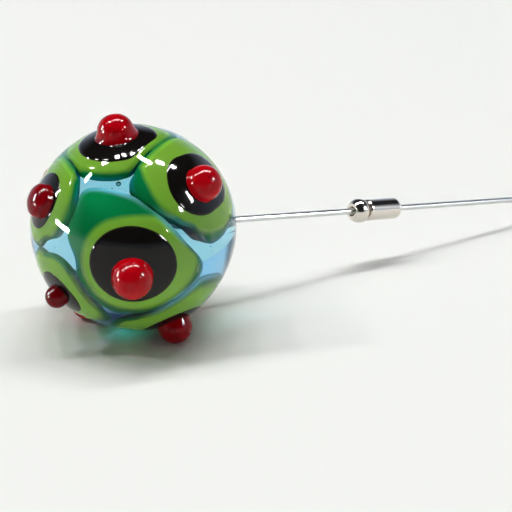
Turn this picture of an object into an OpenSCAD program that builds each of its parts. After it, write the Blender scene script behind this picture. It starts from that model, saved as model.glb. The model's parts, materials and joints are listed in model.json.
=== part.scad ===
// Stick pin with a flame-worked glass ball for a head and a bullet clutch on its wire.
// The ball stands on three of its red bumps on a table at z = 0, and the pin slopes down along +X.

/* [Ball] */
// Diameter of the clear teal ball
ball_d = 23; // [20:0.5:26]
// Diameter of the blind hole that the wire is glued into
hole_d = 1.7; // [1.4:0.1:2.4]
// Depth of the blind hole
hole_depth = 14; // [10:0.5:16]
// Thickness of the glue between the wire's end and the floor of the hole
glue_under = 0.5; // [0.2:0.1:1]
// Diameter of the dimple round the hole's mouth
dimple_d = 3; // [2.6:0.1:4]

/* [Dots] */
// Diameter of a common green dot, measured across its edge
green_d = 12; // [11:0.25:13]
// How deep the edge of a green dot lies under the clear glass
green_veil = 0.8; // [0.5:0.1:1.2]
// How far a green dot swells above the ball
green_rise = 0.3; // [0.15:0.05:0.6]
// How far a green dot sinks below its edge
green_sink = 0.5; // [0.3:0.1:1]
// Diameter of a common black dot
black_d = 7.8; // [6:0.2:8.6]
// How far a black dot swells above its green dot
black_rise = 0.06; // [0.04:0.01:0.2]
// How far a black dot sinks below its rim
black_sink = 0.5; // [0.3:0.1:0.6]
// Width of the teal seam where two green dots squeeze together
seam_w = 0.6; // [0.3:0.05:1.2]
// Least width of green left round a squeezed black dot
green_rim = 0.6; // [0.3:0.1:1]

/* [Bumps] */
// Diameter of a common red bump
bump_d = 3.9; // [3:0.1:4.8]
// Height of a bump's centre above the ball
bump_lift = 0.6; // [0.5:0.1:1]
// Radius of the flare at a bump's foot
bump_flare = 0.6; // [0.4:0.1:1]
// How far below the ball the flare runs out, so that it meets the black glass at an angle
flare_drop = 0.3; // [0.2:0.05:0.4]
// Angle of the three bumps that the ball stands on, below its equator
foot_angle = 57; // [55:1:65]

/* [Pin] */
// Diameter of the wire
wire_d = 0.8; // [0.6:0.1:1]
// Length of the wire outside the ball, to its point
shank_len = 63.5; // [58:0.5:66]
// Length of the ground point
point_len = 7; // [4:0.5:10]
// Diameter of the point's very end
point_d = 0.12; // [0.08:0.02:0.2]
// Angle of the pin below the horizontal as it lies
pin_slope = 7; // [5:0.5:7.5]

/* [Clutch] */
// Length of bare wire between the ball and the clutch
clutch_at = 20.8; // [4:0.2:36]
// Diameter of the rounded nose
nose_d = 3.2; // [2.9:0.1:3.6]
// Length of the nose
nose_len = 2; // [1.8:0.1:3]
// Rounding of the nose's front
nose_round = 1.1; // [0.6:0.1:1.2]
// Width of the countersink where the wire goes in
countersink_d = 1.4; // [1.3:0.1:1.8]
// Diameter of the neck in the groove, which is pressed into the barrel
neck_d = 2; // [1.7:0.1:2.2]
// Length of the neck inside the barrel
neck_len = 1.5; // [1:0.1:2.5]
// Width of the groove behind the nose
groove_w = 0.35; // [0.2:0.05:0.6]
// Diameter of the barrel
barrel_d = 2.85; // [2.6:0.05:3]
// Length of the barrel
barrel_len = 5.7; // [5.2:0.1:8]
// Rounding of the barrel's far end
barrel_round = 0.8; // [0.4:0.1:1]
// Thickness of the barrel's far wall
end_wall = 0.8; // [0.6:0.1:1.2]

/* [Fits] */
// Joint line between glass layers that are fused, and round glued or pressed pieces
fuse_gap = 0.02; // [0.01:0.01:0.04]
// Radial clearance of the wire in the metal of the clutch
wire_clearance = 0.1; // [0.05:0.01:0.15]
// Radial clearance of the wire in the rubber that grips it
grip_clearance = 0.03; // [0.01:0.01:0.05]

/* [Hidden] */
$fn = 192;

// Each dot: its place, its azimuth and elevation, how far its bump slipped in azimuth and elevation,
// the size of its green glass against a common dot, the share of that which lies bare, and the sizes of
// its black and red glass against a common dot. The pin leaves at azimuth 0.
DOTS = [
  ["top", [-145, 74], [0, 0], [0.91, 0.96, 1.08, 1]],
  ["right", [-74, 35], [4, -1], [1.15, 0.98, 0.9, 1]],
  ["front", [-119, -3], [-1, -5], [1.2, 0.74, 1.1, 1.1]],
  ["left", [177, 25], [8, 0], [0.77, 0.96, 0.8, 0.95]],
  ["low_left", [-170, -26], [0, 0], [0.8, 0.96, 0.72, 0.65]],
  ["front_foot", [-80, -foot_angle], [0, 0], [1.05, 0.96, 0.9, 1]],
  ["back_foot", [126, -foot_angle], [0, 0], [0.95, 0.96, 0.92, 1]],
  ["pin_foot", [8, -foot_angle], [0, 0], [0.98, 0.96, 0.92, 1]],
  ["back_left", [108, 22], [3, -5], [0.96, 0.96, 0.95, 0.95]],
  ["back_top", [48, 32], [-2, 3], [1, 0.96, 1, 0.98]],
  ["back", [122, -20], [-4, 0], [0.98, 0.96, 0.92, 0.95]],
];
LAST_DOT = len(DOTS) - 1;

ball_r = ball_d / 2;
wire_r = wire_d / 2;
foot_bump_r = bump_d / 2;
// Height of the ball's centre when it stands on its three foot bumps
ball_h = (ball_r + bump_lift) * sin(foot_angle) + foot_bump_r;
hole_floor = ball_r - hole_depth;
// The dimple is a cone whose rim lies on the ball
dimple_depth = (dimple_d - hole_d) / 2;
mouth_z = sqrt(pow(ball_r, 2) - pow(dimple_d / 2, 2));
wire_end = hole_floor + glue_under;
clutch_z = ball_r + clutch_at;
barrel_z = clutch_z + nose_len + groove_w;
clutch_hole_r = wire_r + wire_clearance;
// Half the size of the blocks that trim a dot along its seams
trim_reach = ball_d;

// Direction of an azimuth and an elevation
function direction(angles) = [
  cos(angles[1]) * cos(angles[0]),
  cos(angles[1]) * sin(angles[0]),
  sin(angles[1])
];
// Radius of the ball that a cap of this half width and rise is part of
function cap_r(half, rise) = (half * half + rise * rise) / (2 * rise);

function dot_direction(i) = direction(DOTS[i][1]);
function bump_direction(i) = direction(DOTS[i][1] + DOTS[i][2]);

// A green dot's edge lies under the clear glass
function green_half(i) = green_d / 2 * DOTS[i][3][0];
function green_edge_z(i) = sqrt(pow(ball_r - green_veil, 2) - pow(green_half(i), 2));
// The rim of its bare part lies on the ball, and its dome rises from there
function bare_half(i) = green_half(i) * DOTS[i][3][1];
function bare_rim_z(i) = sqrt(pow(ball_r, 2) - pow(bare_half(i), 2));
function green_dome(i) = ball_r + green_rise - bare_rim_z(i);
function green_dome_r(i) = cap_r(bare_half(i), green_dome(i));

// A black dot's rim lies on the green dome
function black_half(i) = black_d / 2 * DOTS[i][3][2];
function black_rim_z(i) =
  ball_r + green_rise - green_dome_r(i) + sqrt(pow(green_dome_r(i), 2) - pow(black_half(i), 2));
function black_dome(i) = ball_r + green_rise + black_rise - black_rim_z(i);

function bump_r(i) = bump_d / 2 * DOTS[i][3][3];
function flare_r(i) = bump_flare * DOTS[i][3][3];

// Angle that a green dot takes up at the ball's centre, from its middle to its edge
function green_spread(i) = asin(green_half(i) / (ball_r - green_veil));
function spacing(i, j) = acos(dot_direction(i) * dot_direction(j));
function squeezed_by(i) = [
  for (j = [0:LAST_DOT])
    if (j != i && spacing(i, j) < green_spread(i) + green_spread(j) + asin(seam_w / ball_r)) j
];
// Normal of the seam's plane between two dots, which share the angle between them by their sizes
function seam_normal(i, j) =
  let (
    share = spacing(i, j) * green_spread(i) / (green_spread(i) + green_spread(j)),
    across = dot_direction(j) - cos(spacing(i, j)) * dot_direction(i)
  )
  cos(share) * across / norm(across) - sin(share) * dot_direction(i);

// Turns +Z towards a direction
module facing(v) {
  rotate([0, acos(v.z / norm(v)), atan2(v.y, v.x)])
    children();
}

// Frame of the ball's centre as the pin stands on the table
module at_ball() {
  translate([0, 0, ball_h])
    children();
}

// Frame of the ball's centre with +Z along the pin, towards its point
module along_pin() {
  at_ball()
    rotate([0, 90 + pin_slope, 0])
      children();
}

// Ball whose lowest cap is a dot's rounded underside
module underside(half, rim_z, sink, grow = 0) {
  translate([0, 0, rim_z - sink + cap_r(half, sink)])
    sphere(cap_r(half, sink) + grow);
}

// Ball whose highest cap is a dot's dome
module dome(half, rim_z, rise, grow = 0) {
  translate([0, 0, rim_z + rise - cap_r(half, rise)])
    sphere(cap_r(half, rise) + grow);
}

// Cuts the children back from the seams with the dots that squeeze this one
module within_seams(i, setback) {
  difference() {
    facing(dot_direction(i))
      children();
    for (j = squeezed_by(i))
      facing(seam_normal(i, j))
        translate([-trim_reach, -trim_reach, -setback])
          cube(2 * trim_reach);
  }
}

// Cone of a green dot's shoulder, which falls from its bare rim to its edge under the clear glass
module shoulder(i, grow = 0) {
  lean = (green_half(i) - bare_half(i)) / (bare_rim_z(i) - green_edge_z(i));
  foot_z = green_edge_z(i) - 2 * green_sink;
  head_z = ball_r + 2 * green_rise;
  translate([0, 0, foot_z])
    cylinder(
      h = head_z - foot_z,
      r1 = bare_half(i) + lean * (bare_rim_z(i) - foot_z) + grow,
      r2 = bare_half(i) + lean * (bare_rim_z(i) - head_z) + grow
    );
}

module green_bed(i) {
  within_seams(i, seam_w / 2 - fuse_gap)
    intersection() {
      shoulder(i, fuse_gap);
      underside(green_half(i), green_edge_z(i), green_sink, fuse_gap);
    }
}

module black_bed(i) {
  within_seams(i, seam_w / 2 + green_rim - fuse_gap)
    underside(black_half(i), black_rim_z(i), black_sink, fuse_gap);
}

// Half outline of the blind hole up to its dimpled mouth, drawn in by a gap
function hole_points(gap) = [
  [0, hole_floor + gap],
  [hole_d / 2 - gap, hole_floor + gap],
  [hole_d / 2 - gap, mouth_z - dimple_depth],
  [dimple_d / 2 - gap, mouth_z]
];

// The ball of clear teal glass, with a bed for every dot and a blind hole for the wire
module glass_ball() {
  past_ball = ball_r + dimple_depth;
  color("darkcyan")
    difference() {
      at_ball()
        difference() {
          sphere(ball_r);
          for (i = [0:LAST_DOT])
            green_bed(i);
        }
      along_pin()
        rotate_extrude()
          polygon(concat(hole_points(0), [[dimple_d / 2, past_ball], [0, past_ball]]));
    }
}

// Clear glue that fills the hole round the wire, level with the dimple's mouth
module wire_glue() {
  color("lightcyan")
    along_pin()
      difference() {
        rotate_extrude()
          polygon(concat(hole_points(fuse_gap), [[0, mouth_z]]));
        translate([0, 0, wire_end - fuse_gap])
          cylinder(h = hole_depth, r = wire_r + fuse_gap);
      }
}

// Hardened steel wire with a ground point
module pin_wire() {
  point_z = ball_r + shank_len - point_len;
  color("lightsteelblue")
    along_pin() {
      translate([0, 0, wire_end])
        cylinder(h = point_z - wire_end, d = wire_d);
      translate([0, 0, point_z])
        cylinder(h = point_len, d1 = wire_d, d2 = point_d);
    }
}

// Green glass, swollen above the ball, sunk under it at its edge and squeezed straight by its neighbours
module green_dot(i) {
  color("yellowgreen")
    at_ball()
      difference() {
        within_seams(i, seam_w / 2)
          intersection() {
            dome(bare_half(i), bare_rim_z(i), green_dome(i));
            shoulder(i);
            underside(green_half(i), green_edge_z(i), green_sink);
          }
        black_bed(i);
      }
}

// Black glass melted into the middle of a green dot
module black_dot(i) {
  color("black")
    at_ball()
      within_seams(i, seam_w / 2 + green_rim)
        intersection() {
          dome(black_half(i), black_rim_z(i), black_dome(i));
          underside(black_half(i), black_rim_z(i), black_sink);
        }
}

// Half outline of a bump: a round top whose foot flares out into the black glass
module bump_outline(i) {
  r = bump_r(i);
  flare = flare_r(i);
  bump_z = ball_r + bump_lift;
  foot_z = ball_r - flare_drop;
  flare_x = sqrt(pow(r + flare, 2) - pow(foot_z + flare - bump_z, 2));
  buried_z = foot_z - flare_drop;
  intersection() {
    union() {
      translate([0, bump_z])
        circle(r);
      difference() {
        polygon([[0, buried_z], [flare_x, buried_z], [flare_x, foot_z + flare], [0, bump_z]]);
        translate([flare_x, foot_z + flare])
          circle(flare);
      }
    }
    translate([0, buried_z])
      square([flare_x, bump_z + 2 * r - buried_z]);
  }
}

// Red glass bump that stands on a black dot
module red_bump(i) {
  color("firebrick")
    at_ball()
      difference() {
        facing(bump_direction(i))
          rotate_extrude()
            bump_outline(i);
        facing(dot_direction(i)) {
          dome(black_half(i), black_rim_z(i), black_dome(i), fuse_gap);
          dome(bare_half(i), bare_rim_z(i), green_dome(i), fuse_gap);
        }
      }
}

// Half outline of a round bar from the origin up, with its two outer corners rounded
module bar_outline(length, r, start_round, end_round) {
  difference() {
    square([r, length]);
    difference() {
      translate([r - start_round, -start_round])
        square(2 * start_round);
      translate([r - start_round, start_round])
        circle(start_round);
    }
    difference() {
      translate([r - end_round, length - end_round])
        square(2 * end_round);
      translate([r - end_round, length - end_round])
        circle(end_round);
    }
  }
}

// Rounded nose of the clutch, whose neck is pressed into the barrel
module clutch_nose() {
  back_round = 0.45 * (nose_d - neck_d);
  total_len = nose_len + groove_w + neck_len;
  countersink_depth = 1.5 * (countersink_d / 2 - clutch_hole_r);
  color("silver")
    along_pin()
      translate([0, 0, clutch_z])
        difference() {
          union() {
            rotate_extrude()
              bar_outline(nose_len, nose_d / 2, nose_round, back_round);
            cylinder(h = total_len, d = neck_d);
          }
          translate([0, 0, -total_len / 2])
            cylinder(h = 2 * total_len, r = clutch_hole_r);
          cylinder(h = countersink_depth, r1 = countersink_d / 2, r2 = clutch_hole_r);
        }
}

// Turned barrel of the clutch, open to the nose and drilled for the wire at its far end
module clutch_barrel() {
  mouth_round = 0.4 * (barrel_d - neck_d);
  color("gainsboro")
    along_pin()
      translate([0, 0, barrel_z])
        difference() {
          rotate_extrude()
            bar_outline(barrel_len, barrel_d / 2, mouth_round, barrel_round);
          translate([0, 0, -end_wall])
            cylinder(h = barrel_len, r = neck_d / 2 + fuse_gap);
          cylinder(h = 2 * barrel_len, r = clutch_hole_r);
        }
}

// Rubber sleeve in the barrel that grips the wire
module clutch_grip() {
  grip_len = barrel_len - end_wall - neck_len - 2 * fuse_gap;
  color("dimgray")
    along_pin()
      translate([0, 0, barrel_z + neck_len + fuse_gap])
        difference() {
          cylinder(h = grip_len, d = neck_d);
          translate([0, 0, -grip_len / 2])
            cylinder(h = 2 * grip_len, r = wire_r + grip_clearance);
        }
}

glass_ball();
wire_glue();
pin_wire();
for (i = [0:LAST_DOT]) {
  green_dot(i);
  black_dot(i);
  red_bump(i);
}
clutch_nose();
clutch_barrel();
clutch_grip();
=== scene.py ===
"""Looks of a stick pin with a flame-worked glass ball for a head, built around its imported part."""

import json
import math

import bmesh
import bpy
import numpy as np
from mathutils import Matrix, Vector
from mathutils.bvhtree import BVHTree


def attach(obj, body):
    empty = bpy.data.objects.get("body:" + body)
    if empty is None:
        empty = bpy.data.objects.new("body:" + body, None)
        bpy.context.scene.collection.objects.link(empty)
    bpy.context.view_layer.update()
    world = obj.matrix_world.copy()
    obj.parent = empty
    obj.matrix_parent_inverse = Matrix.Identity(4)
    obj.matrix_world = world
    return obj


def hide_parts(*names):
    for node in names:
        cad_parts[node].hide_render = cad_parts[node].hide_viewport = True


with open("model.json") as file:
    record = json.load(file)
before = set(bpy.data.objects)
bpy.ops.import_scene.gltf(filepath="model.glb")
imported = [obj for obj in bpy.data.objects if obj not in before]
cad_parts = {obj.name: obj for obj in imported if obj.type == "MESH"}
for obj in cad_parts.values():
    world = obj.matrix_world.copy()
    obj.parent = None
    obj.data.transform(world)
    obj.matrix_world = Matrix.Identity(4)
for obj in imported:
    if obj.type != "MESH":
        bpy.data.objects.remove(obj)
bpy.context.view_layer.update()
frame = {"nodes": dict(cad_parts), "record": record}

bl_info = {
    "name": "Glass-Headed Stick Pin",
    "version": (1, 0, 0),
    "blender": (4, 5, 0),
    "location": "3D View > Sidebar > Stick Pin",
    "description": "Builds the glass ball with its dots, the pin wire and its clutch around the packed part",
    "category": "Add Mesh",
}

MM = 0.001

# The part's origin lies straight below the ball's centre, and the shank leaves the ball where its mount is
SHANK = next(m for m in frame["record"]["mounts"] if m["name"] == "shank")
PIN_AXIS = np.array(SHANK["axis"]) / np.linalg.norm(SHANK["axis"])
BALL_R = SHANK["pos_m"][0] / SHANK["axis"][0]
BALL_CENTRE = np.array(SHANK["pos_m"]) - BALL_R * PIN_AXIS
PLACES = sorted(n.removeprefix("red_bump_") for n in frame["nodes"] if n.startswith("red_bump_"))

# How the dots are measured: points round a rim, the widest angle to look at, how far out and in to look,
# how often to halve a step, and how far below the ball a bare surface may lie
ROUND = 128
TURNS = np.arange(ROUND) * 2 * math.pi / ROUND
WIDEST = math.radians(55)
LOOK_OUT = 3 * MM
LOOK_IN = 1.5 * MM
HALVINGS = 14
BARE_DEPTH = 0.03 * MM
BARE_STEP = 0.1 * MM / BALL_R
# Steps in which a gap is looked across, and how many points to each side a measured rim, a gap, a black rim
# and a bare ring are averaged over
GAP_STEPS = 160
SMOOTH_RIM = 4
SMOOTH_GAP = 3
SMOOTH_BLACK = 5
SMOOTH_RING = 10


def hex_colour(text):
    """Linear colour of an sRGB hex value."""
    parts = [int(text[i:i + 2], 16) / 255 for i in (1, 3, 5)]
    return tuple(c / 12.92 if c <= 0.04045 else ((c + 0.055) / 1.055) ** 2.4 for c in parts)


def opaque(colour):
    """A colour with full alpha, as a node's socket takes it."""
    return (*colour, 1.0)


def colour_setting(name, description, value):
    """A colour for the panel, from an sRGB hex value."""
    return bpy.props.FloatVectorProperty(
        name=name, description=description, default=hex_colour(value), subtype="COLOR"
    )


def length_setting(name, description, value):
    """A length for the panel, from millimetres."""
    return bpy.props.FloatProperty(
        name=name, description=description, default=value * MM, precision=6, unit="LENGTH"
    )


def angle_setting(name, description, value):
    """An angle for the panel, from degrees."""
    return bpy.props.FloatProperty(
        name=name, description=description, default=math.radians(value), subtype="ANGLE"
    )


def number_setting(name, description, value):
    """A plain number for the panel."""
    return bpy.props.FloatProperty(name=name, description=description, default=value)


class GlassSettings(bpy.types.PropertyGroup):
    """Sizes and colours of the glass head."""

    swell: length_setting("Dot Swell", "How far a dot swells above the ball", 0.3)
    proud: length_setting("Layer Step", "How far each layer of a dot stands above the one below", 0.008)
    black_thick: length_setting("Black Thickness", "Depth of a black dot at its middle", 0.6)
    bump_lift: length_setting("Bump Lift", "Height of a bump's centre above the ball", 0.6)
    bump_flare: number_setting("Bump Flare", "Width of the flare at a bump's foot, against its radius", 0.02)
    top_flare: number_setting("Top Bump Flare", "The same for the top bump, which sagged into a bell", 0.26)
    teal: colour_setting("Teal", "Colour that clear glass takes on through its thickness", "#4CDCF0")
    lime: colour_setting("Lime", "Green glass at the surface", "#7DB43A")
    emerald: colour_setting("Emerald", "Green glass below clear glass", "#067F46")
    deep_teal: colour_setting("Deep Teal", "Green glass at its sunk edge", "#15808E")
    # Painted shade: a dark colour on green glass down in a seam, standing in for the little light that
    # reaches there
    seam: colour_setting("Seam", "Green glass down in a seam, where little light comes", "#083A4C")
    # Painted light: a pale glow on green glass that stands in for light coming up through a thin edge
    painted_seam_glow: colour_setting("Seam Light", "Green glass so thin that light comes up through it", "#92DEF6")
    black: colour_setting("Black", "Black glass", "#141110")
    thin_black: colour_setting("Thin Black", "Black glass that thins out at its edge", "#2A2A16")
    red: colour_setting("Red", "Red glass", "#C80514")
    # Partly painted shade: also darkens the bumps that lie in the ball's shade
    deep_red_and_shade: colour_setting("Deep Red", "Red glass that is thick or lies on black", "#3A0208")


class MetalSettings(bpy.types.PropertyGroup):
    """Colours of the pin wire and its clutch."""

    steel: colour_setting("Steel", "Drawn steel wire", "#C9CBCA")
    nickel: colour_setting("Nickel", "Bright nickel plate", "#D6CFC5")


class StageSettings(bpy.types.PropertyGroup):
    """The camera's place, the lamps and the floor."""

    azimuth: angle_setting("Camera Azimuth", "Turn of the camera round the pin", -35)
    elevation: angle_setting("Camera Elevation", "Angle of the camera above the floor", 20)
    distance: length_setting("Camera Distance", "Distance of the ball along the view", 112.8)
    ball_right: length_setting("Ball Right", "Place of the ball to the right of the view's middle", -13.7)
    ball_up: length_setting("Ball Up", "Place of the ball above the view's middle", 3.3)
    focal_px: number_setting("Focal Length", "Focal length in pixels of a 512 pixel picture", 1000.0)
    lamp_glow: number_setting("Lamp Glow", "Brightness of a lamp's face, where 1 is white paper", 65.0)
    glint: number_setting("Glint", "Brightness of a lamp in polished things", 200.0)
    fill: number_setting("Fill", "Light from all round", 0.18)
    ceiling: number_setting("Ceiling", "Brightness of the dark part of the room in polished things", 0.02)
    floor: colour_setting("Floor", "Pale paper floor", "#F6F7F4")
    # Painted light: the colour of a glow on the floor that stands in for the light the ball gathers below it
    painted_light_pool: colour_setting("Gathered Light", "Light that the ball gathers on the floor below it", "#26FFF0")


def facing(axis):
    """Matrix that turns +Z towards an axis and +X as far up as it goes."""
    across = np.array((0.0, 0.0, 1.0)) - axis[2] * axis
    across /= np.linalg.norm(across)
    return np.stack((across, np.cross(axis, across), axis), 1)


def polar(turned, angles, turns):
    """Directions at angles from a turned frame's axis and turns about it."""
    local = np.stack((np.sin(angles) * np.cos(turns), np.sin(angles) * np.sin(turns), np.cos(angles)), -1)
    return local @ turned.T


def smooth_step(low, high, values):
    """0 below low, 1 above high and an even curve between."""
    t = np.clip((values - low) / (high - low), 0, 1)
    return t * t * (3 - 2 * t)


def smooth_round(values, reach):
    """Values round a rim, each averaged with its neighbours within reach, which weigh less further off."""
    steps = np.arange(-reach, reach + 1)
    weights = 1 + np.cos(math.pi * steps / (reach + 1))
    return sum(w * np.roll(values, s) for w, s in zip(weights, steps)) / weights.sum()


def node_points(name):
    """Corners of a CAD node's mesh."""
    mesh = frame["nodes"][name].data
    points = np.zeros(len(mesh.vertices) * 3, np.float32)
    mesh.vertices.foreach_get("co", points)
    return points.reshape(-1, 3).astype(float)


def middle_direction(name):
    """Direction from the ball's centre to the middle of a CAD node."""
    points = node_points(name)
    offset = points.mean(0) - BALL_CENTRE
    return offset / np.linalg.norm(offset)


def node_tree(name):
    """Faces of a CAD node, for rays to be cast at."""
    mesh = frame["nodes"][name].data
    return BVHTree.FromPolygons([v.co for v in mesh.vertices], [p.vertices for p in mesh.polygons])


def depth_from_outside(tree, way):
    """How deep below the ball a ray from outside meets a node, or None where it misses."""
    start = Vector(BALL_CENTRE + way * (BALL_R + LOOK_OUT))
    away = tree.ray_cast(start, Vector(-way), LOOK_OUT + LOOK_IN)[3]
    return None if away is None else away - LOOK_OUT


def depth_from_inside(tree, way):
    """How deep below the ball a ray from its centre meets a node."""
    away = tree.ray_cast(Vector(BALL_CENTRE), Vector(way), BALL_R)[3]
    return 0.0 if away is None else BALL_R - away


def rim_angles(tree, turned, deepest, inner):
    """Angle from a dot's axis to where its node ends or sinks deeper than this, beyond inner angles."""
    rims = []
    for turn, low in zip(TURNS, inner):
        high = WIDEST
        for _ in range(HALVINGS):
            angle = (low + high) / 2
            depth = depth_from_outside(tree, polar(turned, angle, turn))
            low, high = (low, angle) if depth is None or depth > deepest else (angle, high)
        rims.append(low)
    return np.array(rims)


# Where a dot's glass drew in or ran on as it melted: turns about its axis in degrees, from straight up to
# the viewer's left, and how far in millimetres
GREEN_DRAWN = {
    "front": ((80, -1.0), (165, -0.5)),
    "left": ((186, -0.1), (214, -0.6)),
    "low_left": ((-24, -0.4), (4, -0.35)),
    "right": ((130, -0.5), (158, -1.3), (186, -1.4), (214, -1.3), (242, -0.4)),
}
GREEN_RUNS = {
    "front": ((38, 1.8), (58, 0.8), (-16, 1.2), (-48, 0.3)),
    "front_foot": ((-28, 0.8), (0, 0.8), (28, 0.8)),
    "top": ((67, 1.8), (95, 1.8), (-72, 1.8), (-44, 1.5)),
    "left": ((-10, 1.6), (18, 1.6), (46, 1.2)),
    "low_left": ((225, 0.6),),
    "right": ((2, 1.6), (30, 1.6)),
}
BLACK_RUNS = {
    "front": ((90, 0.3), (-90, 0.15), (180, -0.2)),
    "left": ((90, 0.4), (-90, -0.4)),
    "low_left": ((-70, -0.35),),
    "right": ((-80, 2.1), (150, -0.2)),
}
# Where a green dot's edge sagged deep into the ball, in the same way
GREEN_SAGS = {"right": ((158, 0.8), (186, 1.5), (214, 1.5), (242, 0.8))}
GREEN_RUN_WIDTH = math.radians(28)
BLACK_RUN_WIDTH = math.radians(80)
# Where a bump slipped as it set, in the same way
BUMP_SLIPS = {"left": (95, 1.0), "top": (30, 0.35)}
# How high a bump stands that sank further than the rest, against a round one
BUMP_SUNK = {"left": 0.6, "top": 0.9}
# Angle from the crown, in degrees, at which a bump that sagged into a bell flares out
BELL_FROM = {"top": 75}
# How dark a bump's red is at its crown and at its foot: a darker foot is partly the red thinning over black
# glass and partly painted shade, and the left, low left and front foot bumps are darkened all over as painted
# shade
BUMP_DARK_AND_SHADE = {"left": (0.55, 0.55), "low_left": (0.75, 0.75), "front_foot": (0.4, 0.5), "top": (0.0, 0.8)}


def run_out(place, runs, width):
    """Angles by which a dot's glass ran on, all the way round."""
    spread = np.zeros(ROUND)
    for turn, far in runs.get(place, ()):
        away = np.abs(np.angle(np.exp(1j * (TURNS - math.radians(turn)))))
        spread += far * MM / BALL_R * (1 - smooth_step(0, width, away))
    return spread


def share_round(place, marks, width):
    """Shares from 0 to 1 all the way round a dot, highest at its marks."""
    return np.clip(run_out(place, marks, width) * BALL_R / MM, 0, 1)


class Dot:
    """A stack of green, black and red glass, measured on the part."""

    # Just inside its edge, where the depths of a green dot's edge are measured
    NEAR_EDGE = 0.985
    # No dot that is laid on by hand is quite round: shares by which a black rim is oval and three-sided, and
    # how far these are turned from one dot to the next
    OVAL, OVAL_TURN = 0.018, 1.7
    THREE_SIDED, THREE_SIDED_TURN = 0.012, 2.9

    def __init__(self, number, place):
        self.place = place
        self.axis = middle_direction("black_dot_" + place)
        self.turned = facing(self.axis)
        self.bump_axis = middle_direction("red_bump_" + place)
        if place in BUMP_SLIPS:
            turn, far = BUMP_SLIPS[place]
            self.bump_axis = polar(facing(self.bump_axis), far * MM / BALL_R, math.radians(turn))
        black_rim = rim_angles(node_tree("black_dot_" + place), self.turned, LOOK_IN, np.zeros(ROUND))
        green = node_tree("green_dot_" + place)
        inner = black_rim + BARE_STEP
        self.edge = smooth_round(rim_angles(green, self.turned, LOOK_IN, inner), SMOOTH_RIM)
        self.edge += run_out(place, GREEN_DRAWN, GREEN_RUN_WIDTH)
        self.bare = smooth_round(rim_angles(green, self.turned, BARE_DEPTH, inner), SMOOTH_RIM)
        ways = polar(self.turned, self.NEAR_EDGE * self.edge, TURNS)
        depths = np.array([depth_from_outside(green, way) or 0.0 for way in ways])
        self.edge_depth = smooth_round(depths, SMOOTH_RIM)
        depths = np.array([depth_from_inside(green, way) for way in ways])
        self.under_depth = smooth_round(depths, SMOOTH_RIM)
        self.middle_depth = depth_from_inside(green, self.axis)
        wobble = 1 + self.OVAL * np.sin(2 * TURNS + self.OVAL_TURN * number)
        wobble += self.THREE_SIDED * np.sin(3 * TURNS + self.THREE_SIDED_TURN * number)
        self.black_rim = smooth_round(black_rim, SMOOTH_BLACK) * wobble
        bump = node_points("red_bump_" + place) - BALL_CENTRE
        self.bump_top = np.linalg.norm(bump, axis=1).max() - BALL_R

    def edge_share(self, ways):
        """How far each direction is from the axis, as a share of the way to the green edge."""
        local = ways @ self.turned
        angles = np.arccos(np.clip(local[..., 2], -1, 1))
        turns = np.arctan2(local[..., 1], local[..., 0])
        return angles / np.interp(turns, TURNS, self.edge, period=2 * math.pi)


DOTS = [Dot(number, place) for number, place in enumerate(PLACES)]

# A swollen dot's slope runs out a little past its rim
SWELL_REACH = 1.12


def skin(ways, swell):
    """Distance from the ball's centre to its surface in each direction."""
    shares = np.stack([np.clip(dot.edge_share(ways) / SWELL_REACH, 0, 1) for dot in DOTS])
    return BALL_R + swell * ((1 - shares ** 2) ** 2).sum(0)


def gaps(dot):
    """Angle from a dot's edge to the next dot's edge, all the way round."""
    steps = np.linspace(0, WIDEST, GAP_STEPS + 1)[1:]
    ways = polar(dot.turned, dot.edge[None] + steps[:, None], TURNS[None])
    taken = np.stack([other.edge_share(ways) < 1 for other in DOTS if other is not dot]).any(0)
    return np.where(taken.any(0), steps[taken.argmax(0)], WIDEST)


def lofted(name, rings, first, last):
    """Closed smooth mesh object through rings of points, from a first to a last single point."""
    rings = np.asarray(rings)
    count, columns = rings.shape[:2]
    points = np.concatenate((np.asarray(first)[None], rings.reshape(-1, 3), np.asarray(last)[None]))
    loops = (1 + np.arange(count * columns)).reshape(count, columns).tolist()
    faces = [(0, a, b) for a, b in zip(loops[0], loops[0][1:] + loops[0][:1])]
    for near, far in zip(loops, loops[1:]):
        faces += [
            (near[k], far[k], far[(k + 1) % columns], near[(k + 1) % columns]) for k in range(columns)
        ]
    end = len(points) - 1
    faces += [(end, b, a) for a, b in zip(loops[-1], loops[-1][1:] + loops[-1][:1])]
    mesh = bpy.data.meshes.new(name)
    mesh.from_pydata(points.tolist(), [], faces)
    shape = bmesh.new()
    shape.from_mesh(mesh)
    bmesh.ops.recalc_face_normals(shape, faces=shape.faces)
    shape.to_mesh(mesh)
    shape.free()
    mesh.shade_smooth()
    piece = bpy.data.objects.new(name, mesh)
    bpy.context.scene.collection.objects.link(piece)
    return piece


def laid_on(name, dot, layers, swell, proud, bottom_r):
    """A dot's mesh through layers, each its angles from the axis, its depths below the skin and a share."""
    rings = []
    for angles, depth, _ in layers:
        ways = polar(dot.turned, angles, TURNS)
        rings.append(BALL_CENTRE + ways * (skin(ways, swell) - depth)[:, None])
    top_r = skin(dot.axis[None], swell)[0] + proud
    return lofted(name, rings, BALL_CENTRE + dot.axis * top_r, BALL_CENTRE + dot.axis * bottom_r)


def mark(piece, name, values):
    """Keeps a value for each point of a piece, for its material to read."""
    attribute = piece.data.attributes.new(name, "FLOAT", "POINT")
    attribute.data.foreach_set("value", np.asarray(values, np.float32))


def finish_piece(piece, material, body, slot, *nodes):
    """Gives a piece its material and body, and hides the CAD nodes it stands for. Its slot is not used."""
    piece.data.materials.clear()
    piece.data.materials.append(material)
    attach(piece, body)
    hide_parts(*nodes)


def finish_node(name, material):
    """Gives a CAD node that stays a better material."""
    node = frame["nodes"][name]
    node.data.materials.clear()
    node.data.materials.append(material)


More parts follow.
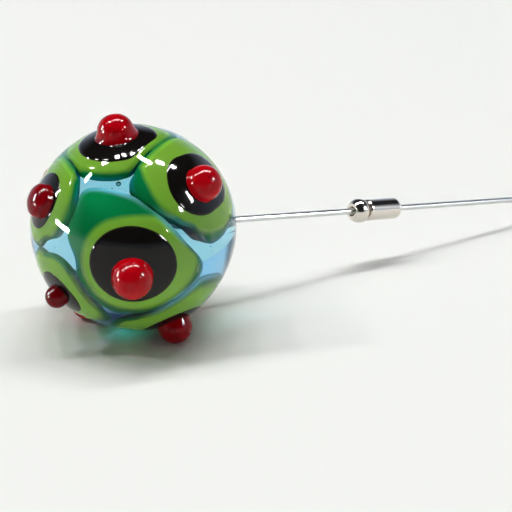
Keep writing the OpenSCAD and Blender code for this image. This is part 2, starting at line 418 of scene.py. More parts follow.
def add(tree, kind, inputs=None, **settings):
    """Adds a node with its settings. An input takes a value or a link: an output, or a node's first one."""
    node = tree.nodes.new("ShaderNode" + kind)
    for name, value in settings.items():
        setattr(node, name, value)
    for name, value in (inputs or {}).items():
        if isinstance(value, bpy.types.Node):
            value = next(output for output in value.outputs if output.enabled)
        if isinstance(value, bpy.types.NodeSocket):
            tree.links.new(value, node.inputs[name])
        else:
            node.inputs[name].default_value = value
    return node


def new_material(name):
    """A material without a surface, its node tree and the places on its piece."""
    material = bpy.data.materials.new(name)
    material.use_nodes = True
    tree = material.node_tree
    tree.nodes.clear()
    return material, tree, add(tree, "TexCoord").outputs["Object"]


def surfaced(material, inputs):
    """A material, given a surface."""
    tree = material.node_tree
    add(tree, "OutputMaterial", {"Surface": add(tree, "BsdfPrincipled", inputs)})
    return material


def set_ramp(ramp, stops):
    """Sets a colour ramp's stops, each a place and a colour."""
    elements = ramp.color_ramp.elements
    while len(elements) < len(stops):
        elements.new(0.5)
    for element, (place, colour) in zip(elements, stops):
        element.position = place
        element.color = opaque(colour)


def per_mm(size):
    """Scale of a noise pattern whose marks are this many millimetres across."""
    return 1 / (size * MM)


# How fast clear glass takes on its colour, per metre, and the shares of red, green and blue light that get
# through the ball to its shadow and through the glue
TEAL_DENSITY = 66.0
SHADOW_SHARES = (0.74, 0.78, 0.76)
GLUE_SHARES = (0.9, 0.95, 0.93)


def teal_glass(glass):
    # Clear teal soda glass, melted and left fire-polished: a mirror-smooth skin with slow waves,
    # through which the colour deepens with thickness
    material, tree, place = new_material("Fire-Polished Teal Glass")
    waves = add(tree, "TexNoise", {"Vector": place, "Scale": per_mm(4), "Detail": 1.0})
    relief = add(tree, "Bump", {"Height": waves, "Strength": 0.05, "Distance": 0.2 * MM})
    clear = add(tree, "BsdfPrincipled", {
        "Base Color": (1, 1, 1, 1), "Roughness": 0.0, "IOR": 1.52, "Transmission Weight": 1.0,
        "Normal": relief,
    })
    depth = add(tree, "VolumeAbsorption", {"Color": opaque(glass.teal), "Density": TEAL_DENSITY})
    ray = add(tree, "LightPath")
    lit = add(tree, "BsdfTransparent", {"Color": opaque(SHADOW_SHARES)})
    shadow = ray.outputs["Is Shadow Ray"]
    surface = add(tree, "MixShader", {0: shadow, 1: clear, 2: lit})
    add(tree, "OutputMaterial", {"Surface": surface, "Volume": depth})
    return material


def green_streaks(tree, place):
    """Adds how far green glass looks sunk, with its winding streaks, and their relief."""
    sunk = add(tree, "Attribute", attribute_name="sunk").outputs["Fac"]
    streaks = add(tree, "TexNoise", {"Vector": place, "Scale": per_mm(2.5), "Detail": 4.0})
    drift = add(tree, "Math", {0: streaks, 1: 0.5}, operation="SUBTRACT")
    shifted = add(tree, "Math", {0: drift, 1: 0.12, 2: sunk}, operation="MULTIPLY_ADD")
    relief = add(tree, "Bump", {"Height": streaks, "Strength": 0.05, "Distance": 0.2 * MM})
    return shifted, relief


def green_glass(glass):
    # Opaque lime glass melted flush: fire-polished, with faint streaks from winding the rod
    material, tree, place = new_material("Opaque Lime Glass")
    sunk, relief = green_streaks(tree, place)
    ramp = add(tree, "ValToRGB", {"Fac": sunk})
    set_ramp(ramp, [(0.0, glass.lime), (0.06, glass.lime), (0.44, glass.emerald)])
    specks = add(tree, "TexNoise", {"Vector": place, "Scale": per_mm(0.6), "Detail": 2.0})
    gloss = add(tree, "MapRange", {"Value": specks, "To Min": 0.03, "To Max": 0.09})
    return surfaced(material, {"Base Color": ramp, "Roughness": gloss, "IOR": 1.42, "Normal": relief})


def sunk_green_glass(glass):
    # The same glass where it is fused under the clear teal: no air lies between, so it has no gloss of its
    # own, and it turns from lime to cloudy emerald and then teal as the clear glass over it thickens
    material, tree, place = new_material("Sunk Lime Glass")
    sunk, relief = green_streaks(tree, place)
    ramp = add(tree, "ValToRGB", {"Fac": sunk})
    # The ramp's dark end, the seam colour, is painted shade down in a seam
    set_ramp(ramp, [
        (0.0, glass.lime), (0.06, glass.lime), (0.4, glass.emerald), (0.52, glass.emerald),
        (0.78, glass.deep_teal), (1.0, glass.seam),
    ])
    clouds = add(tree, "TexNoise", {"Vector": place, "Scale": per_mm(5), "Detail": 1.0})
    dim = add(tree, "MapRange", {
        "Value": clouds, "From Min": 0.35, "From Max": 0.65, "To Min": 0.78, "To Max": 1.1,
    })
    cloudy = add(tree, "MapRange", {"Value": sunk, "From Min": 0.1, "From Max": 0.5})
    colour = add(tree, "Mix", {
        "Factor": cloudy, "A": ramp, "B": dim,
    }, data_type="RGBA", blend_type="MULTIPLY")
    # Mixes in a pale painted glow, standing in for light through a thin edge and for light on a dot's
    # underside
    lit = add(tree, "Attribute", attribute_name="lit")
    glow = add(tree, "Mix", {
        "Factor": lit.outputs["Fac"], "A": colour, "B": opaque(glass.painted_seam_glow),
    }, data_type="RGBA")
    return surfaced(material, {
        "Base Color": glow, "Roughness": 0.9, "Specular IOR Level": 0.0, "Normal": relief,
    })


def black_glass(glass):
    # Very dark brown glass that reads as black, melted flush: a deep mirror with a faint warm edge where it
    # thins
    material, tree, place = new_material("Black Glass")
    thin = add(tree, "Attribute", attribute_name="thin")
    ramp = add(tree, "ValToRGB", {"Fac": thin.outputs["Fac"]})
    set_ramp(ramp, [(0.0, glass.black), (0.6, glass.black), (1.0, glass.thin_black)])
    waves = add(tree, "TexNoise", {"Vector": place, "Scale": per_mm(2), "Detail": 2.0})
    gloss = add(tree, "MapRange", {"Value": waves, "To Min": 0.03, "To Max": 0.08})
    relief = add(tree, "Bump", {"Height": waves, "Strength": 0.06, "Distance": 0.2 * MM})
    return surfaced(material, {
        "Base Color": ramp, "Roughness": gloss, "IOR": 1.32,
        "Normal": relief,
    })


def red_glass(glass):
    # Red glass dabbed on last and only rounded by the flame: saturated, glossy, with a little depth
    material, tree, place = new_material("Red Glass")
    clouds = add(tree, "TexNoise", {"Vector": place, "Scale": per_mm(1.5), "Detail": 3.0})
    ramp = add(tree, "ValToRGB", {"Fac": clouds})
    set_ramp(ramp, [(0.3, tuple(0.7 * c for c in glass.red)), (0.7, glass.red)])
    # Darkens towards deep red: a foot where the red thins over black, and painted shade on bumps in the
    # ball's shade
    deep = add(tree, "Attribute", attribute_name="deep")
    colour = add(tree, "Mix", {
        "Factor": deep.outputs["Fac"], "A": ramp, "B": opaque(glass.deep_red_and_shade),
    }, data_type="RGBA")
    gloss = add(tree, "MapRange", {"Value": clouds, "To Min": 0.025, "To Max": 0.04})
    relief = add(tree, "Bump", {"Height": clouds, "Strength": 0.02, "Distance": 0.1 * MM})
    return surfaced(material, {
        "Base Color": colour, "Roughness": gloss, "IOR": 1.26,
        "Normal": relief,
    })


def steel_wire(metal):
    # Hardened steel wire, drawn through a die: bright, with fine lines along its length
    material, tree, place = new_material("Drawn Steel Wire")
    turn = add(tree, "Mapping", {
        "Vector": place, "Rotation": (0, math.asin(PIN_AXIS[2]), 0),
        "Scale": (per_mm(6), per_mm(0.1), per_mm(0.1)),
    })
    lines = add(tree, "TexNoise", {"Vector": turn, "Scale": 1.0, "Detail": 3.0})
    gloss = add(tree, "MapRange", {"Value": lines, "To Min": 0.12, "To Max": 0.3})
    relief = add(tree, "Bump", {"Height": lines, "Strength": 0.15, "Distance": 0.02 * MM})
    return surfaced(material, {
        "Base Color": opaque(metal.steel), "Metallic": 1.0, "Roughness": gloss,
        "Normal": relief,
    })


def nickel_plate(metal):
    # Brass turned on a lathe, polished and nickel-plated bright: a mirror with faint waves
    material, tree, place = new_material("Bright Nickel Plate")
    waves = add(tree, "TexNoise", {"Vector": place, "Scale": per_mm(0.8), "Detail": 3.0})
    gloss = add(tree, "MapRange", {"Value": waves, "To Min": 0.05, "To Max": 0.14})
    relief = add(tree, "Bump", {"Height": waves, "Strength": 0.05, "Distance": 0.05 * MM})
    return surfaced(material, {
        "Base Color": opaque(metal.nickel), "Metallic": 1.0, "Roughness": gloss,
        "Normal": relief,
    })


def clear_glue():
    # Cured clear epoxy that wets the hole. Its index is the glass's, so nothing bends between the two
    material, tree, place = new_material("Clear Epoxy")
    haze = add(tree, "TexNoise", {"Vector": place, "Scale": per_mm(1), "Detail": 2.0})
    gloss = add(tree, "MapRange", {"Value": haze, "To Min": 0.0, "To Max": 0.05})
    return surfaced(material, {
        "Base Color": opaque(GLUE_SHARES), "Roughness": gloss, "IOR": 1.02,
        "Transmission Weight": 1.0,
    })


def grip_rubber():
    # Moulded black rubber: matt, with a fine grain
    material, tree, place = new_material("Moulded Rubber")
    grain = add(tree, "TexNoise", {"Vector": place, "Scale": per_mm(0.2), "Detail": 2.0})
    ramp = add(tree, "ValToRGB", {"Fac": grain})
    set_ramp(ramp, [(0.3, hex_colour("#1C1C1C")), (0.7, hex_colour("#2A2A2A"))])
    relief = add(tree, "Bump", {"Height": grain, "Strength": 0.2, "Distance": 0.02 * MM})
    return surfaced(material, {"Base Color": ramp, "Roughness": 0.8, "Normal": relief})


# A patch of light painted on the floor as a glow, standing in for the light that the ball gathers: its place
# to the right of the ball's centre, away from the viewer and up, half its size that way, and its brightness,
# where 1 is white paper
PAINTED_LIGHT_PLACE = Vector((-1.5, -2.2, 0)) * MM
PAINTED_LIGHT_SIZE = Vector((4.6, 5.0, 5.0)) * MM
PAINTED_LIGHT_GLOW = 0.19


def pale_paper(stage):
    # Smooth white paper from a calender: matt, with a faint tooth. A patch of teal light is painted on it as
    # a glow, standing in for the light that the ball gathers below it
    material, tree, place = new_material("Pale Paper")
    turned = Matrix.Rotation(stage.azimuth, 3, "Z")
    patch = add(tree, "Mapping", {
        "Vector": place, "Location": turned @ PAINTED_LIGHT_PLACE,
        "Rotation": (0, 0, stage.azimuth), "Scale": PAINTED_LIGHT_SIZE,
    }, vector_type="TEXTURE")
    fade = add(tree, "TexGradient", {"Vector": patch}, gradient_type="QUADRATIC_SPHERE")
    glow = add(tree, "Math", {0: fade.outputs["Fac"], 1: PAINTED_LIGHT_GLOW}, operation="MULTIPLY")
    tooth = add(tree, "TexNoise", {"Vector": place, "Scale": per_mm(0.8), "Detail": 3.0})
    relief = add(tree, "Bump", {"Height": tooth, "Strength": 0.05, "Distance": 0.05 * MM})
    return surfaced(material, {
        "Base Color": opaque(stage.floor), "Roughness": 0.7, "Specular IOR Level": 0.05,
        "Normal": relief, "Emission Color": opaque(stage.painted_light_pool),
        "Emission Strength": glow,
    })


# A green dot's bare glass rounds off at least this far inside its edge, and sinks at least this deep there
EDGE_ROUND = 0.5 * MM
EDGE_DROP = 0.35 * MM
# Dots closer than this are squeezed together: under the surface they spread until only the narrowest gap
# is left
SQUEEZED = 1.0 * MM
NARROWEST = 0.02 * MM
# Glass that runs on into a gap leaves this much of it
SEAM_LEFT = 0.25 * MM
# These two don't spread, so that light still comes through the seam between them
OPEN_SEAMS = ("front", "front_foot")
# Where a pale glow is painted on a thin edge, standing in for light that comes through it, and where a seam
# is painted dark as shade: turns about a dot's axis in degrees, and a share
PAINTED_SEAM_GLOW = {
    "front_foot": ((-10, 1.0), (30, 0.7)),
    "front": ((14, 0.7), (-50, 0.6), (238, 1.0)),
    "right": ((126, 0.35),),
}
PAINTED_SEAM_GLOW_WIDTH = math.radians(40)
PAINTED_DARK_SEAMS = {
    "top": ((125, 1.0), (-100, 1.0), (-128, 1.0)),
    "left": ((-30, 1.0),),
    "right": ((50, 1.0), (158, 0.7), (186, 1.0), (214, 1.0)),
    "low_left": ((-60, 0.7), (-88, 0.7), (-116, 0.7)),
    "front": ((90, 0.6), (118, 0.6), (146, 0.8)),
    "front_foot": ((60, 1.0), (88, 1.0)),
}
# Where the clear glass ran far over a green dot: width of its bare ring in millimetres, every 45 degrees from
# straight up to the viewer's left
BARE_RINGS = {
    "front": (0.3, 0.6, 0.75, 0.9, 0.8, 1.4, 2.6, 1.4),
    "right": (4.0, 2.2, 1.0, 0.9, 1.2, 2.5, 4.0, 4.0),
    "left": (3.0, 3.0, 3.0, 3.0, 2.2, 1.1, 0.7, 1.1),
    "top": (3.0, 3.0, 3.0, 1.1, 0.9, 1.1, 2.2, 3.0),
}


def green_edge(dot):
    """Angle from a dot's axis to its green edge, which runs on into a gap but not onto the next dot."""
    spread = run_out(dot.place, GREEN_RUNS, GREEN_RUN_WIDTH)
    free = np.maximum(gaps(dot) - SEAM_LEFT / BALL_R, 0)
    return dot.edge + smooth_round(np.minimum(spread, free), SMOOTH_GAP)


def black_edge(dot):
    """Angle from a dot's axis to its black rim."""
    return dot.black_rim + run_out(dot.place, BLACK_RUNS, BLACK_RUN_WIDTH)


def bare_rim(dot):
    """Angle from a dot's axis to the end of its bare green glass, all the way round."""
    rounded = dot.edge - EDGE_ROUND / BALL_R
    if dot.place not in BARE_RINGS:
        return np.minimum(dot.bare, rounded)
    ring = np.interp(TURNS, np.radians(np.arange(0, 360, 45)), BARE_RINGS[dot.place], period=2 * math.pi)
    return np.minimum(dot.black_rim + smooth_round(ring, SMOOTH_RING) * MM / BALL_R, rounded)


# Bubbles caught in the clear glass: azimuth and elevation in degrees, depth and radius in millimetres
BUBBLES = (
    (-128, 42, 0.9, 0.26), (-133, 40, 1.5, 0.07), (-72, 0, 0.8, 0.07), (-70, -4, 1.1, 0.05),
    (-75, 3, 1.4, 0.06), (-168, 2, 1.2, 0.06), (62, -15, 1.0, 0.09), (70, -10, 1.6, 0.06),
    (-40, -20, 1.2, 0.08), (150, 50, 1.3, 0.07),
)


def blow_bubbles(ball):
    """Adds round hollows inside the ball, where air was caught in the glass."""
    shape = bmesh.new()
    shape.from_mesh(ball.data)
    for azimuth, elevation, depth, radius in BUBBLES:
        turn, rise = math.radians(azimuth), math.radians(elevation)
        way = np.array((math.cos(rise) * math.cos(turn), math.cos(rise) * math.sin(turn), math.sin(rise)))
        place = Matrix.Translation(Vector(BALL_CENTRE + way * (BALL_R - depth * MM)))
        made = bmesh.ops.create_icosphere(shape, subdivisions=3, radius=radius * MM, matrix=place)
        hollow = {face for point in made["verts"] for face in point.link_faces}
        bmesh.ops.reverse_faces(shape, faces=list(hollow))
    shape.to_mesh(ball.data)
    shape.free()
    ball.data.shade_smooth()


class STICKPIN_OT_glass_ball(bpy.types.Operator):
    """Builds the ball of clear teal glass, swollen over each dot, with a dimple where the wire goes in"""

    bl_idname = "stickpin.glass_ball"
    bl_label = "Glass Ball"

    RINGS = 180
    COLUMNS = 256
    DIMPLE_R = 1.5 * MM
    DIMPLE_DEPTH = 0.65 * MM
    # Shares of the dimple's radius where its floor ends and where its slope has run out
    DIMPLE_FLOOR, DIMPLE_END = 0.5, 1.1

    def execute(self, context):
        glass = context.scene.stickpin_glass
        turned = facing(PIN_AXIS)
        turns = np.arange(self.COLUMNS) * 2 * math.pi / self.COLUMNS
        rings = []
        for angle in np.linspace(math.pi, 0, self.RINGS + 2)[1:-1]:
            ways = polar(turned, np.full(self.COLUMNS, angle), turns)
            from_wire = BALL_R * math.sin(angle) if angle < math.pi / 2 else BALL_R
            slope = smooth_step(self.DIMPLE_FLOOR, self.DIMPLE_END, from_wire / self.DIMPLE_R)
            dip = self.DIMPLE_DEPTH * (1 - slope)
            rings.append(BALL_CENTRE + ways * (skin(ways, glass.swell) - dip)[:, None])
        first = BALL_CENTRE - PIN_AXIS * skin(-PIN_AXIS[None], glass.swell)[0]
        last = BALL_CENTRE + PIN_AXIS * (BALL_R - self.DIMPLE_DEPTH)
        ball = lofted("ball_of_clear_glass", rings, first, last)
        blow_bubbles(ball)
        finish_piece(ball, teal_glass(glass), "pin", "teal_glass", "glass_ball")
        return {"FINISHED"}


class STICKPIN_OT_green_dots(bpy.types.Operator):
    """Builds the green dots, bare in the middle and sunk under the clear glass at their edges"""

    bl_idname = "stickpin.green_dots"
    bl_label = "Green Dots"

    BARE = np.linspace(0.06, 1, 16)
    SHOULDER = np.linspace(0.06, 1, 14)
    WALL = np.linspace(0.25, 1, 4)
    UNDER = np.linspace(0.95, 0.08, 10)
    # Lime turns emerald over the first width. Emerald turns teal over the second, unless the next dot is
    # close, and a pale glow, painted for light that comes through the edge, fades in over the third
    LIME_FADE = 1.1 * MM
    TEAL_FADE = 0.9 * MM
    PAINTED_GLOW_FADE = 0.8 * MM
    # How far sunk a shoulder looks where it has turned emerald and teal. A seam's walls painted fully dark as
    # shade are 1
    EMERALD = 0.46
    TEAL = 0.78
    # Share of the pale painted glow on a dot's underside, standing in for light that hardly gets under the
    # glass
    UNDERSIDE_PAINTED_GLOW = 0.4
    # How dark the painted seam shade is where a seam has no marks, and how a shoulder curves down
    PLAIN_SEAM_SHADE = 0.5
    SHOULDER_BEND = 1.5

    def execute(self, context):
        glass = context.scene.stickpin_glass
        bare_material, sunk_material = green_glass(glass), sunk_green_glass(glass)
        for dot in DOTS:
            edge = green_edge(dot)
            bare = bare_rim(dot)
            drop = np.maximum(dot.edge_depth, EDGE_DROP)
            under = np.maximum(dot.under_depth, drop + EDGE_DROP)
            under = under + run_out(dot.place, GREEN_SAGS, GREEN_RUN_WIDTH) * BALL_R
            gap = gaps(dot) - (edge - dot.edge)
            close = gap < SQUEEZED / BALL_R
            squeezed = smooth_round(np.where(close, 1.0, 0.0), SMOOTH_GAP)
            lean = smooth_round(np.where(close, 0.5 * gap - NARROWEST / BALL_R, 0), SMOOTH_GAP)
            if dot.place in OPEN_SEAMS:
                lean = np.zeros(ROUND)
            foot = edge + lean
            whole = np.ones(ROUND)
            # Seam walls are painted dark as shade, most at the marks of the dark seams
            dark = self.PLAIN_SEAM_SHADE * whole
            if dot.place in PAINTED_DARK_SEAMS:
                dark = share_round(dot.place, PAINTED_DARK_SEAMS, GREEN_RUN_WIDTH)
            wall = self.EMERALD + (1 - self.EMERALD) * dark
            layers = [(u * bare, -glass.proud * whole, 0 * whole) for u in self.BARE]
            for w in self.SHOULDER:
                away = w * (edge - bare) * BALL_R
                near = (1 - w) * (edge - bare) * BALL_R
                shade = self.EMERALD * smooth_step(0, self.LIME_FADE, away)
                turned_teal = (1 - squeezed) * (1 - smooth_step(0, self.TEAL_FADE, near))
                shade += (self.TEAL - self.EMERALD) * turned_teal
                depth = (drop + glass.proud) * w ** self.SHOULDER_BEND - glass.proud
                layers.append((bare + w * (edge - bare), depth, shade))
            layers += [(edge + w * lean, drop + w * (under - drop), wall) for w in self.WALL]
            layers += [
                (v * foot, under + (dot.middle_depth - under) * math.sqrt(1 - v * v), self.EMERALD * whole)
                for v in self.UNDER
            ]
            sunk, lit = [0.0], [0.0]
            # Painted glow where light would come through a thin edge, fading in towards the edge
            light = share_round(dot.place, PAINTED_SEAM_GLOW, PAINTED_SEAM_GLOW_WIDTH)
            for angles, _, share in layers:
                sunk += share.tolist()
                lit += (light * (1 - smooth_step(0, self.PAINTED_GLOW_FADE, (edge - angles) * BALL_R))).tolist()
            bottom_r = BALL_R - dot.middle_depth
            piece = laid_on("green_glass_" + dot.place, dot, layers, glass.swell, glass.proud, bottom_r)
            under_rings = ROUND * len(self.UNDER)
            lit[-under_rings:] = [self.UNDERSIDE_PAINTED_GLOW] * under_rings
            mark(piece, "sunk", sunk + [self.EMERALD])
            mark(piece, "lit", lit + [self.UNDERSIDE_PAINTED_GLOW])
            finish_piece(piece, bare_material, "pin", "green_glass", "green_dot_" + dot.place)
            piece.data.materials.append(sunk_material)
            # Faces come ring by ring, so all past the bare rings and the shoulder's first one lie under clear
            # glass
            first_sunk = ROUND * (len(self.BARE) + 1)
            for face in piece.data.polygons[first_sunk:]:
                face.material_index = 1
        return {"FINISHED"}


class STICKPIN_OT_black_dots(bpy.types.Operator):
    """Builds the black dots, melted flush into the green ones"""

    bl_idname = "stickpin.black_dots"
    bl_label = "Black Dots"

    BARE = np.linspace(0.1, 1, 14)
    EDGE = np.linspace(0.2, 1, 5)
    UNDER = np.linspace(0.9, 0.1, 6)
    EDGE_WIDTH = 0.25 * MM
    EDGE_DEPTH = 0.3 * MM
    # Share of the way to its rim where a black dot starts to thin
    THIN_FROM = 0.9

    def execute(self, context):
        glass = context.scene.stickpin_glass
        material = black_glass(glass)
        for dot in DOTS:
            rim = black_edge(dot)
            edge = rim + self.EDGE_WIDTH / BALL_R
            proud = 2 * glass.proud
            layers = [(u * rim, -proud, smooth_step(self.THIN_FROM, 1, u)) for u in self.BARE]
            layers += [
                (rim + w * (edge - rim), (self.EDGE_DEPTH + proud) * w - proud, 1.0)
                for w in self.EDGE
            ]
            belly = glass.black_thick - self.EDGE_DEPTH
            layers += [
                (v * edge, self.EDGE_DEPTH + belly * math.sqrt(1 - v * v), 1.0) for v in self.UNDER
            ]
            bottom_r = skin(dot.axis[None], glass.swell)[0] - glass.black_thick
            piece = laid_on("black_glass_" + dot.place, dot, layers, glass.swell, proud, bottom_r)
            mark(piece, "thin", [0.0, *np.repeat([share for *_, share in layers], ROUND), 1.0])
            finish_piece(piece, material, "pin", "black_glass", "black_dot_" + dot.place)
        return {"FINISHED"}


class STICKPIN_OT_red_bumps(bpy.types.Operator):
    """Builds the red bumps, round on top and flared at their feet"""

    bl_idname = "stickpin.red_bumps"
    bl_label = "Red Bumps"

    COLUMNS = 72
    DOME = np.linspace(0.03, 1, 22)
    SKIRT = np.linspace(0, 1, 12)[1:]
    BURIED = 0.5 * MM

    def execute(self, context):
        glass = context.scene.stickpin_glass
        material = red_glass(glass)
        turns = np.arange(self.COLUMNS) * 2 * math.pi / self.COLUMNS
        for dot in DOTS:
            r = dot.bump_top - glass.bump_lift
            turned = facing(dot.bump_axis)
            foot_r = r * (1 + (glass.top_flare if dot.place == "top" else glass.bump_flare))
            # The foot ends level with the black glass, wherever the bump has slipped to
            foot_angle = math.asin(foot_r / BALL_R)
            skin_r = skin(polar(turned, np.full(self.COLUMNS, foot_angle), turns), glass.swell)
            foot_z = skin_r * math.cos(foot_angle) - BALL_R + 2 * glass.proud
            rise = r * BUMP_SUNK.get(dot.place, 1.0)
            side = math.radians(BELL_FROM.get(dot.place, 90))
            whole = np.ones(self.COLUMNS)
            outline = [
                (r * math.sin(angle) * whole, (glass.bump_lift + rise * math.cos(angle)) * whole)
                for angle in self.DOME * side
            ]
            # The skirt leaves the dome along its slope and runs out level
            side_r, side_z = outline[-1]
            bend_r = side_r + (side_z - foot_z) * r / (rise * math.tan(side))
            for t in self.SKIRT:
                out = (1 - t) ** 2 * side_r + 2 * t * (1 - t) * bend_r + t ** 2 * foot_r
                outline.append((out, (1 - t) ** 2 * side_z + (1 - (1 - t) ** 2) * foot_z))
            outline.append((foot_r * whole, foot_z - self.BURIED))
            rings = []
            for x, z in outline:
                local = np.stack((x * np.cos(turns), x * np.sin(turns), BALL_R + z), -1)
                rings.append(BALL_CENTRE + local @ turned.T)
            first = BALL_CENTRE + dot.bump_axis * (BALL_R + glass.bump_lift + rise)
            last = BALL_CENTRE + dot.bump_axis * (BALL_R - self.BURIED)
            piece = lofted("red_glass_" + dot.place, rings, first, last)
            # Painted shade on bumps in the ball's shade, and a darker foot where the red thins over black
            crown, foot = BUMP_DARK_AND_SHADE.get(dot.place, (0.0, 0.0))
            low = np.concatenate((np.zeros(len(self.DOME)), smooth_step(0, 1, self.SKIRT), [1.0]))
            mark(piece, "deep", [crown, *np.repeat(crown + (foot - crown) * low, self.COLUMNS), foot])
            finish_piece(piece, material, "pin", "red_glass", "red_bump_" + dot.place)
        return {"FINISHED"}


class STICKPIN_OT_pin_wire(bpy.types.Operator):
    """Finishes the pin's wire and the glue that holds it in the ball"""

    bl_idname = "stickpin.pin_wire"
    bl_label = "Pin Wire"

    def execute(self, context):
        finish_node("pin_wire", steel_wire(context.scene.stickpin_metal))
        finish_node("wire_glue", clear_glue())
        return {"FINISHED"}


class STICKPIN_OT_clutch(bpy.types.Operator):
    """Finishes the clutch that slides on the wire"""

    bl_idname = "stickpin.clutch"
    bl_label = "Clutch"

    def execute(self, context):
        nickel = nickel_plate(context.scene.stickpin_metal)
        finish_node("clutch_nose", nickel)
        finish_node("clutch_barrel", nickel)
        finish_node("clutch_grip", grip_rubber())
        return {"FINISHED"}


class STICKPIN_OT_stage(bpy.types.Operator):
    """Sets the floor, the lamps, the light from all round and the camera"""

    bl_idname = "stickpin.stage"
    bl_label = "Stage"

    FLOOR_HALF = 4.0
    SENSOR = 36.0
    PICTURE_PX = 512
    CLIP_START = 5 * MM
    LAMP_AWAY = 3.0
    GLINT_AWAY = 2.8
    GLINT_THROUGH = 0.3
    # Lamps: directions to the right, up and back in the view, their lengths and widths, how far each is
    # turned about its direction, and their light against an arch lamp's
    ARCH = [
        ((math.cos(math.radians(angle)), math.sin(math.radians(angle)), lean), 0.28, 0.2, 0.0, share)
        for angle, lean, share in (
            (63, 0.08, 0.6), (73, 0.12, 0.7), (82, 0.2, 0.9), (92, 0.27, 1.1), (102, 0.32, 1.2),
            (116, 0.35, 1.2), (134, 0.35, 1.2),
        )
    ]
    # Lamps that light nothing and only glint in polished things
    SIDES = [
        ((-0.94, 0.33, 0.07), 1.0, 0.16, 0.0, 0.0),
        ((-0.96, -0.03, 0.27), 0.4, 0.16, 0.9, 0.0),
        ((0.87, 0.37, 0.33), 0.7, 0.2, 0.2, 0.0),
        ((0.8, 0.16, 0.57), 0.25, 0.12, 0.0, 0.0),
    ]
    # Parts of a direction between which the mirrored room darkens overhead, above the floor and before the
    # pin, and between which the room seen through the glass darkens aside and above
    OVERHEAD = (0.2, 0.6)
    RAISED = (-0.02, 0.12)
    BEFORE = (0.1, 0.6)
    ASIDE = (0.84, 0.92)
    ABOVE = (0.3, 0.45)
    COOL_BACKDROP = hex_colour("#D8E6FA")
    DARK_ROOM = hex_colour("#1C3452")

    def lay_floor(self, scene):
        """Lays the paper that the pin lies on."""
        half = self.FLOOR_HALF
        corners = [(-half, -half, 0), (half, -half, 0), (half, half, 0), (-half, half, 0)]
        mesh = bpy.data.meshes.new("floor")
        mesh.from_pydata(corners, [], [(0, 1, 2, 3)])
        mesh.materials.append(pale_paper(scene.stickpin_stage))
        floor = bpy.data.objects.new("floor", mesh)
        scene.collection.objects.link(floor)

    def aim_camera(self, scene, view):
        """Puts the camera where the photo was taken from."""
        stage = scene.stickpin_stage
        camera = bpy.data.objects.new("camera", bpy.data.cameras.new("camera"))
        camera.data.sensor_width = self.SENSOR
        camera.data.lens = stage.focal_px / self.PICTURE_PX * self.SENSOR
        camera.data.clip_start = self.CLIP_START
        right, up, back = view.T
        eye = BALL_CENTRE - right * stage.ball_right - up * stage.ball_up + back * stage.distance
        camera.matrix_world = Matrix.Translation(Vector(eye)) @ Matrix(view.tolist()).to_4x4()
        scene.collection.objects.link(camera)
        scene.camera = camera

    def hold_back(self, light):
        """Weakens a glint on its way in through clear glass, so that it hardly lights what lies under it."""
        light.use_nodes = True
        tree = light.node_tree
        tree.nodes.clear()
        spread = add(tree, "LightPath").outputs["Diffuse Depth"]
        share = add(tree, "MapRange", {"Value": spread, "To Min": 1.0, "To Max": self.GLINT_THROUGH})
        glow = add(tree, "Emission", {"Strength": share})
        add(tree, "OutputLight", {"Surface": glow})

    def hang_lamps(self, scene, view):
        """Hangs the lamps, and before each of them a glint that only polished things show."""
        stage = scene.stickpin_stage
        for number, (way, length, width, turn, share) in enumerate(self.ARCH + self.SIDES):
            out = view @ np.array(way)
            out /= np.linalg.norm(out)
            along = np.cross(view[:, 2], out)
            along /= np.linalg.norm(along)
            along = along * math.cos(turn) + np.cross(out, along) * math.sin(turn)
            axes = Matrix(np.stack((along, np.cross(out, along), out), 1).tolist()).to_4x4()
            kinds = [("glint", stage.glint, self.GLINT_AWAY)]
            if share > 0:
                kinds.insert(0, ("lamp", share * stage.lamp_glow, self.LAMP_AWAY))
            for kind, glow, away in kinds:
                light = bpy.data.lights.new(f"{kind}_{number}", "AREA")
                light.shape = "RECTANGLE"
                light.size, light.size_y = length, width
                light.energy = glow * math.pi * length * width
                lamp = bpy.data.objects.new(light.name, light)
                lamp.visible_glossy = kind == "glint"
                lamp.visible_diffuse = kind == "lamp"
                lamp.visible_transmission = False
                if kind == "glint":
                    self.hold_back(light)
                lamp.matrix_world = Matrix.Translation(Vector(BALL_CENTRE + out * away)) @ axes
                scene.collection.objects.link(lamp)

    def light_room(self, scene, view):
        """Sets the light from all round, and the room that is mirrored and seen through the glass."""
        stage = scene.stickpin_stage
        right, _, back = view.T
        world = bpy.data.worlds.new("soft_room")
        world.use_nodes = True
        tree = world.node_tree
        tree.nodes.clear()
        ray = add(tree, "LightPath")
        way = add(tree, "TexCoord").outputs["Generated"]
        height = add(tree, "SeparateXYZ", {0: way}).outputs["Z"]
        before = add(tree, "VectorMath", {0: way, 1: tuple(back)}, operation="DOT_PRODUCT").outputs["Value"]
        side = add(tree, "VectorMath", {0: way, 1: tuple(right)}, operation="DOT_PRODUCT").outputs["Value"]
        aside = add(tree, "Math", {0: side}, operation="ABSOLUTE")
        overhead, raised, near, flank, above = (
            add(tree, "MapRange", {"Value": value, "From Min": low, "From Max": high})
            for value, (low, high) in (
                (height, self.OVERHEAD), (height, self.RAISED), (before, self.BEFORE), (aside, self.ASIDE),
                (height, self.ABOVE),
            )
        )
        # Polished things mirror a bright backdrop low down behind them, and a dark room overhead and before
        room = add(tree, "Math", {0: near, 1: raised}, operation="MULTIPLY")
        dark = add(tree, "Math", {0: overhead, 1: room}, operation="MAXIMUM")
        mirrored = add(tree, "MapRange", {"Value": dark, "To Min": 1.0, "To Max": stage.ceiling})
        glossy = ray.outputs["Is Glossy Ray"]
        spread = add(tree, "MapRange", {"Value": glossy, "To Min": stage.fill, "To Max": mirrored})
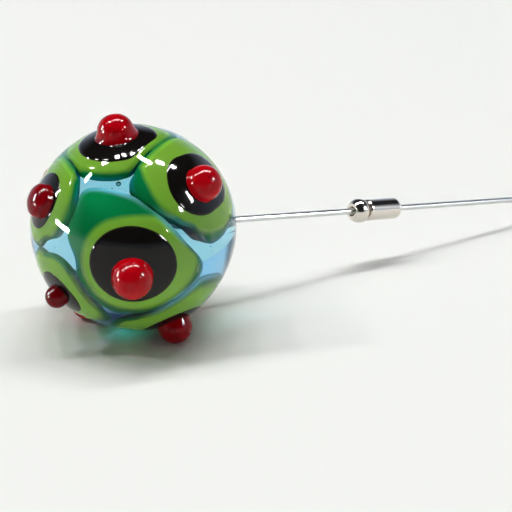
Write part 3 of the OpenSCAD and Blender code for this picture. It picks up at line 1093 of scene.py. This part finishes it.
        # What is seen through the clear glass is white. Light that comes in through it is the same as outside
        direct = add(tree, "Math", {0: ray.outputs["Diffuse Depth"], 1: 0.5}, operation="LESS_THAN")
        through = add(tree, "Math", {0: ray.outputs["Is Transmission Ray"], 1: direct}, operation="MULTIPLY")
        seen = add(tree, "Math", {0: ray.outputs["Is Camera Ray"], 1: through}, operation="MAXIMUM")
        strength = add(tree, "MapRange", {"Value": seen, "To Min": spread, "To Max": 1.0})
        # Far aside and overhead the room is a dark blue through the glass
        unlit = add(tree, "Math", {0: flank, 1: above}, operation="MAXIMUM")
        shaded = add(tree, "Math", {0: unlit, 1: through}, operation="MULTIPLY")
        # Polished things mirror a cool backdrop
        cool = add(tree, "Mix", {
            "Factor": glossy, "A": (1, 1, 1, 1), "B": opaque(self.COOL_BACKDROP),
        }, data_type="RGBA")
        colour = add(tree, "Mix", {
            "Factor": shaded, "A": cool, "B": opaque(self.DARK_ROOM),
        }, data_type="RGBA")
        light = add(tree, "Background", {"Color": colour, "Strength": strength})
        add(tree, "OutputWorld", {"Surface": light})
        scene.world = world

    def execute(self, context):
        scene = context.scene
        stage = scene.stickpin_stage
        level = math.cos(stage.elevation)
        back = np.array((
            math.sin(stage.azimuth) * level, -math.cos(stage.azimuth) * level, math.sin(stage.elevation)
        ))
        right = np.cross((0, 0, 1), back)
        right /= np.linalg.norm(right)
        view = np.stack((right, np.cross(back, right), back), 1)
        self.lay_floor(scene)
        self.aim_camera(scene, view)
        self.hang_lamps(scene, view)
        self.light_room(scene, view)
        scene.view_settings.view_transform = "Standard"
        return {"FINISHED"}


class STICKPIN_PT_panel(bpy.types.Panel):
    """Lists the pin's pieces and their settings"""

    bl_idname = "STICKPIN_PT_panel"
    bl_label = "Stick Pin"
    bl_space_type = "VIEW_3D"
    bl_region_type = "UI"
    bl_category = "Stick Pin"

    def draw(self, context):
        for group in SETTINGS:
            settings = getattr(context.scene, group)
            box = self.layout.box()
            for name in settings.bl_rna.properties.keys():
                if name not in ("rna_type", "name"):
                    box.prop(settings, name)
        for operator in OPERATORS:
            self.layout.operator(operator.bl_idname)


SETTINGS = {
    "stickpin_glass": GlassSettings,
    "stickpin_metal": MetalSettings,
    "stickpin_stage": StageSettings,
}
OPERATORS = (
    STICKPIN_OT_stage,
    STICKPIN_OT_glass_ball,
    STICKPIN_OT_green_dots,
    STICKPIN_OT_black_dots,
    STICKPIN_OT_red_bumps,
    STICKPIN_OT_pin_wire,
    STICKPIN_OT_clutch,
)


def register():
    for cls in (*SETTINGS.values(), *OPERATORS, STICKPIN_PT_panel):
        bpy.utils.register_class(cls)
    for name, settings in SETTINGS.items():
        setattr(bpy.types.Scene, name, bpy.props.PointerProperty(type=settings))


def unregister():
    for name in SETTINGS:
        delattr(bpy.types.Scene, name)
    for cls in reversed((*SETTINGS.values(), *OPERATORS, STICKPIN_PT_panel)):
        bpy.utils.unregister_class(cls)


def main():
    register()
    for operator in OPERATORS:
        group, name = operator.bl_idname.split(".")
        getattr(getattr(bpy.ops, group), name)()


if __name__ == "__main__":
    main()
